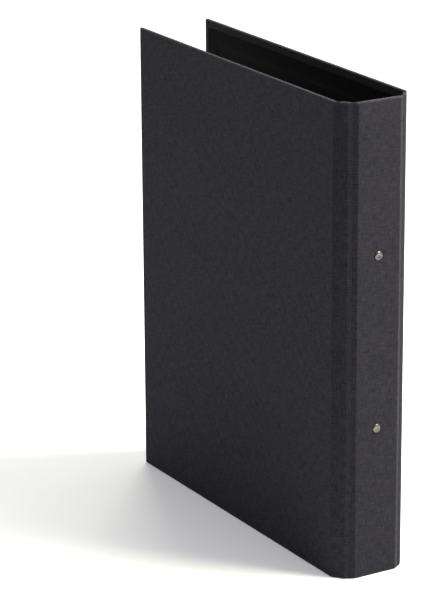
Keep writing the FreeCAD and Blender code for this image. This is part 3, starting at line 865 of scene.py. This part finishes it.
weave, given, result = shader_group(
    "plain_weave",
    {"Sheet": ("Vector", None), "Threads": ("Float", THREADS), "Slub": ("Float", SLUB)},
    ["Height", "Thread Shade", "Slubs"])
wander = add_node(weave, "ShaderNodeTexNoise",
                  {"Vector": given["Sheet"], "Scale": WANDER_SCALE, "Detail": 1.0})
drift = add_node(weave, "ShaderNodeVectorMath",
                 {0: wander.outputs["Color"], 1: (2 * WANDER, 2 * WANDER, 0),
                  2: (-WANDER, -WANDER, 0)}, operation="MULTIPLY_ADD")
moved = add_node(weave, "ShaderNodeVectorMath", {0: given["Sheet"], 1: drift.outputs[0]},
                 operation="ADD")
counted = add_node(weave, "ShaderNodeVectorMath", {0: moved.outputs[0], "Scale": given["Threads"]},
                   operation="SCALE")
split = add_node(weave, "ShaderNodeSeparateXYZ", {0: counted.outputs[0]}).outputs


def thread(across, along, shift):
    """Height of one set of threads: round across, and rising over every other crossing."""
    body = math_node(weave, "ABSOLUTE", math_node(weave, "SINE",
                     math_node(weave, "MULTIPLY", across, math.pi)))
    number = math_node(weave, "ADD", math_node(weave, "FLOOR", across), shift)
    phase = math_node(weave, "MULTIPLY", math_node(weave, "ADD", along, number), math.pi)
    over = math_node(weave, "SINE", phase)
    return math_node(weave, "MULTIPLY_ADD", over, OVER, math_node(weave, "MULTIPLY", body, 1 - OVER))


warp = thread(split["X"], split["Y"], 0.0)
weft = thread(split["Y"], split["X"], 1.0)
top_thread = math_node(weave, "MAXIMUM", warp, weft)
warp_shows = math_node(weave, "GREATER_THAN", warp, weft)

# %% The weave group: its slubs
SLUB_ACROSS = 1500  # slubs to the metre across the threads
WARP_SLUBS = 170  # and along the warp
WEFT_SLUBS = 150  # and along the weft
warp_slub = noise(weave, stretched(weave, moved.outputs[0], SLUB_ACROSS, WARP_SLUBS), 1.0, 3.0, 0.6)
weft_slub = noise(weave, stretched(weave, moved.outputs[0], WEFT_SLUBS, SLUB_ACROSS), 1.0, 3.0, 0.6)
showing = add_node(weave, "ShaderNodeMix", {"Factor": warp_shows, "A": weft_slub, "B": warp_slub})
both = math_node(weave, "MULTIPLY", math_node(weave, "ADD", warp_slub, weft_slub), 0.5)
slubs = add_node(weave, "ShaderNodeMix", {"Factor": 0.5, "A": showing.outputs[0], "B": both}).outputs[0]
swell = math_node(weave, "MULTIPLY", slubs, given["Slub"])
weave.links.new(math_node(weave, "ADD", top_thread, swell), result.inputs["Height"])
# The thread height is also given out as a colour factor: painted shade between the threads.
weave.links.new(top_thread, result.inputs["Thread Shade"])
weave.links.new(slubs, result.inputs["Slubs"])
print("weave:", len(weave.nodes), "nodes")

# %% [markdown]
# Book cloth is dyed threads with starch and a pasted paper back. Between the threads the colour is
# darker, a painted shade of the gaps, and on slubs a little lighter. Where it bends over a board the
# colour is lighter, partly wear on the threads and partly a painted highlight of the lit edge. A soft
# sheen stands for the loose fibres. The same recipe with a smaller tone range would suit a smoother
# buckram.

# %% Make the book cloth
def mix_colour(tree, factor, a, b):
    made = add_node(tree, "ShaderNodeMix", {"Factor": factor}, data_type="RGBA")
    for socket, value in ((made.inputs[6], a), (made.inputs[7], b)):
        if isinstance(value, bpy.types.NodeSocket):
            tree.links.new(value, socket)
        else:
            socket.default_value = (*value, 1)
    return made.outputs[2]


def limits(tree, value, low, high, to_low=0.0, to_high=1.0):
    return add_node(tree, "ShaderNodeMapRange", {"Value": value, "From Min": low, "From Max": high,
                                                 "To Min": to_low, "To Max": to_high}).outputs[0]


CLOTH_DARK = (0.0029, 0.0028, 0.0043)
CLOTH_LIGHT = (0.0247, 0.0234, 0.0328)
# Lighter colour at every bend over a board: partly wear on the threads, partly a painted highlight of
# the lit edge.
CLOTH_WEAR_AND_HIGHLIGHT = (0.069, 0.065, 0.078)

book_cloth, tree, shader = material("book_cloth")
sheet_uv = add_node(tree, "ShaderNodeUVMap", uv_map="threads").outputs[0]
threads_node = add_node(tree, "ShaderNodeGroup", {}, node_tree=weave)
tree.links.new(sheet_uv, threads_node.inputs["Sheet"])
slubs = limits(tree, threads_node.outputs["Slubs"], 0.34, 0.66)
# The colour darkens where the threads are low, a painted shade between them; slubs lighten it.
tone = math_node(tree, "MULTIPLY", slubs, limits(tree, threads_node.outputs["Thread Shade"], 0.2, 0.9, 0.6, 1.0))
patches = noise(tree, sheet_uv, 30.0, 3.0)
tone = math_node(tree, "ADD", tone, limits(tree, patches, 0.3, 0.7, -0.04, 0.04))
dyed = mix_colour(tree, tone, CLOTH_DARK, CLOTH_LIGHT)
fold = add_node(tree, "ShaderNodeAttribute", attribute_name="fold").outputs["Fac"]
# At the bends the colour is lightened in patches: partly wear, partly a painted highlight.
wear_and_highlight_speckle = limits(tree, noise(tree, sheet_uv, 900.0, 2.0), 0.35, 0.75)
wear_and_highlight = math_node(tree, "MULTIPLY", math_node(tree, "MULTIPLY", fold, wear_and_highlight_speckle), 0.7)
tree.links.new(mix_colour(tree, wear_and_highlight, dyed, CLOTH_WEAR_AND_HIGHLIGHT), shader.inputs["Base Color"])
tree.links.new(limits(tree, slubs, 0, 1, 0.88, 0.74), shader.inputs["Roughness"])
bump = add_node(tree, "ShaderNodeBump", {"Height": threads_node.outputs["Height"], "Strength": 0.55,
                                         "Distance": 0.12 * MM})
tree.links.new(bump.outputs[0], shader.inputs["Normal"])
shader.inputs["Specular IOR Level"].default_value = 0.14
shader.inputs["Sheen Weight"].default_value = 0.02
shader.inputs["Sheen Roughness"].default_value = 0.45

# %% [markdown]
# ## Paper and board
#
# The lining is uncoated black paper. It shows short fibres and a very slight cockle from the paste.
# Greyboard is pulped waste paper, so it is flecked with lighter and darker fibres. Both read the
# position on the piece.

# %% Make the paper and the board
lining_paper, tree, shader = material("lining_paper")
place = add_node(tree, "ShaderNodeTexCoord").outputs["Object"]
fibre = noise(tree, stretched(tree, place, 900, 900, 2600), 1.0, 4.0, 0.65)
cockle = noise(tree, place, 55.0, 2.0)
tree.links.new(mix_colour(tree, limits(tree, fibre, 0.35, 0.7), (0.0011, 0.0011, 0.0012),
                          (0.0033, 0.0032, 0.0035)), shader.inputs["Base Color"])
tree.links.new(limits(tree, fibre, 0.3, 0.7, 0.62, 0.78), shader.inputs["Roughness"])
relief = math_node(tree, "ADD", math_node(tree, "MULTIPLY", fibre, 0.25), cockle)
bump = add_node(tree, "ShaderNodeBump", {"Height": relief, "Strength": 0.25, "Distance": 0.2 * MM})
tree.links.new(bump.outputs[0], shader.inputs["Normal"])
shader.inputs["Specular IOR Level"].default_value = 0.045

greyboard, tree, shader = material("greyboard")
place = add_node(tree, "ShaderNodeTexCoord").outputs["Object"]
pulp = noise(tree, stretched(tree, place, 700, 260, 260), 1.0, 5.0, 0.7)
fleck = noise(tree, stretched(tree, place, 1400, 1400, 1400), 1.0, 1.0)
base = mix_colour(tree, limits(tree, pulp, 0.3, 0.7), (0.20, 0.185, 0.165), (0.33, 0.31, 0.28))
tree.links.new(mix_colour(tree, limits(tree, fleck, 0.68, 0.74), base, (0.06, 0.055, 0.05)),
               shader.inputs["Base Color"])
tree.links.new(limits(tree, pulp, 0.3, 0.7, 0.82, 0.95), shader.inputs["Roughness"])
bump = add_node(tree, "ShaderNodeBump", {"Height": pulp, "Strength": 0.4, "Distance": 0.15 * MM})
tree.links.new(bump.outputs[0], shader.inputs["Normal"])

# %% [markdown]
# ## Plated metal
#
# Rivets, rings and plate are all steel under a thin plating, so one group serves them: fine
# scratches in one direction, smudges that dull the shine, and a slight change of tone. Each metal
# sets its own colour, which for the nickel is darkened as a painted reflection of dark surroundings,
# and gives the group its own scale and direction.

# %% The plating group
plating, given, result = shader_group(
    "plating", {"Place": ("Vector", None), "Scratch": ("Vector", (300.0, 300.0, 6000.0))},
    ["Scratches", "Smudges"])
long_way = add_node(plating, "ShaderNodeVectorMath", {0: given["Place"], 1: given["Scratch"]},
                    operation="MULTIPLY")
plating.links.new(noise(plating, long_way.outputs[0], 1.0, 4.0, 0.7), result.inputs["Scratches"])
plating.links.new(noise(plating, given["Place"], 260.0, 3.0), result.inputs["Smudges"])


def finish_metal(tree, shader, dark, light, rough, scratch, depth):
    """Dress a metal. rough is its range of roughness and depth its bump's strength."""
    place = add_node(tree, "ShaderNodeTexCoord").outputs["Object"]
    coat = add_node(tree, "ShaderNodeGroup", node_tree=plating)
    tree.links.new(place, coat.inputs["Place"])
    coat.inputs["Scratch"].default_value = scratch
    smudges = limits(tree, coat.outputs["Smudges"], 0.3, 0.7)
    tree.links.new(mix_colour(tree, smudges, dark, light), shader.inputs["Base Color"])
    uneven = math_node(tree, "ADD", math_node(tree, "MULTIPLY", smudges, 0.5),
                       math_node(tree, "MULTIPLY", coat.outputs["Scratches"], 0.5))
    tree.links.new(limits(tree, uneven, 0.2, 0.8, *rough), shader.inputs["Roughness"])
    bump = add_node(tree, "ShaderNodeBump", {"Height": coat.outputs["Scratches"], "Strength": depth,
                                             "Distance": 0.02 * MM})
    tree.links.new(bump.outputs[0], shader.inputs["Normal"])
    shader.inputs["Metallic"].default_value = 1.0


# %% Make the metals
# The nickel's colour is far darker than real nickel: a painted reflection of dark surroundings.
finish_metal(nickel_tree, nickel_shader, (0.085, 0.083, 0.084), (0.145, 0.142, 0.141), (0.26, 0.38),
             (2500.0, 400.0, 2500.0), 0.35)
chrome, tree, shader = material("chrome")
finish_metal(tree, shader, (0.60, 0.61, 0.62), (0.70, 0.70, 0.71), (0.08, 0.2),
             (900.0, 900.0, 5000.0), 0.15)
bright_steel, tree, shader = material("bright_steel")
finish_metal(tree, shader, (0.42, 0.42, 0.415), (0.56, 0.56, 0.55), (0.22, 0.4),
             (5000.0, 3000.0, 160.0), 0.3)
print("materials:", len(bpy.data.materials))

# %% [markdown]
# ## Putting it together
#
# Each piece takes its material and stands for the plain blank that it replaces. The pieces of the
# covers and the spine ride on a body of the frame; the joint pieces are fixed where they were made.
# Boards, leaves, half rings and the cover plate keep their engineering shapes, and only get a finish.

# %% Give the pieces their finishes and bodies
def dress(thing, finish):
    thing.data.materials.clear()
    thing.data.materials.append(finish)


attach(spine_cloth, "spine")
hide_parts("spine_cloth")
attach(linings["spine"], "spine")
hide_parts("spine_lining")
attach(rivets, "spine")
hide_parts("upper_rivet", "lower_rivet")
dress(spine_cloth, book_cloth)
dress(linings["spine"], lining_paper)

for place, side, cover in (("back", 1, back_cloth), ("front", -1, front_cloth)):
    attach(cover, f"{place}_cover")
    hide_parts(f"{place}_cloth")
    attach(linings[f"{place}_cover"], f"{place}_cover")
    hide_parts(f"{place}_lining")
    for thing in (joints[f"{place}_cover_joint"], linings[f"{place}_cover_joint"]):
        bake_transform(thing)
    for thing in (joints[f"{place}_spine_joint"], linings[f"{place}_spine_joint"]):
        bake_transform(thing)
    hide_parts(f"{place}_cover_joint")
    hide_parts(f"{place}_spine_joint", f"{place}_strip_cloth")
    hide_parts(f"{place}_strip_lining")
    dress(cover, book_cloth)
    for key_name in (f"{place}_cover_joint", f"{place}_spine_joint"):
        dress(joints[key_name], book_cloth)
        dress(linings[key_name], lining_paper)
    dress(linings[f"{place}_cover"], lining_paper)

CAD_FINISHES = {"board": greyboard, "leaf": bright_steel, "cover_plate": bright_steel, "ring": chrome}
for name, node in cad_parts.items():
    for word, finish in CAD_FINISHES.items():
        if name.endswith(word):
            node.data.materials.clear()
            node.data.materials.append(finish)
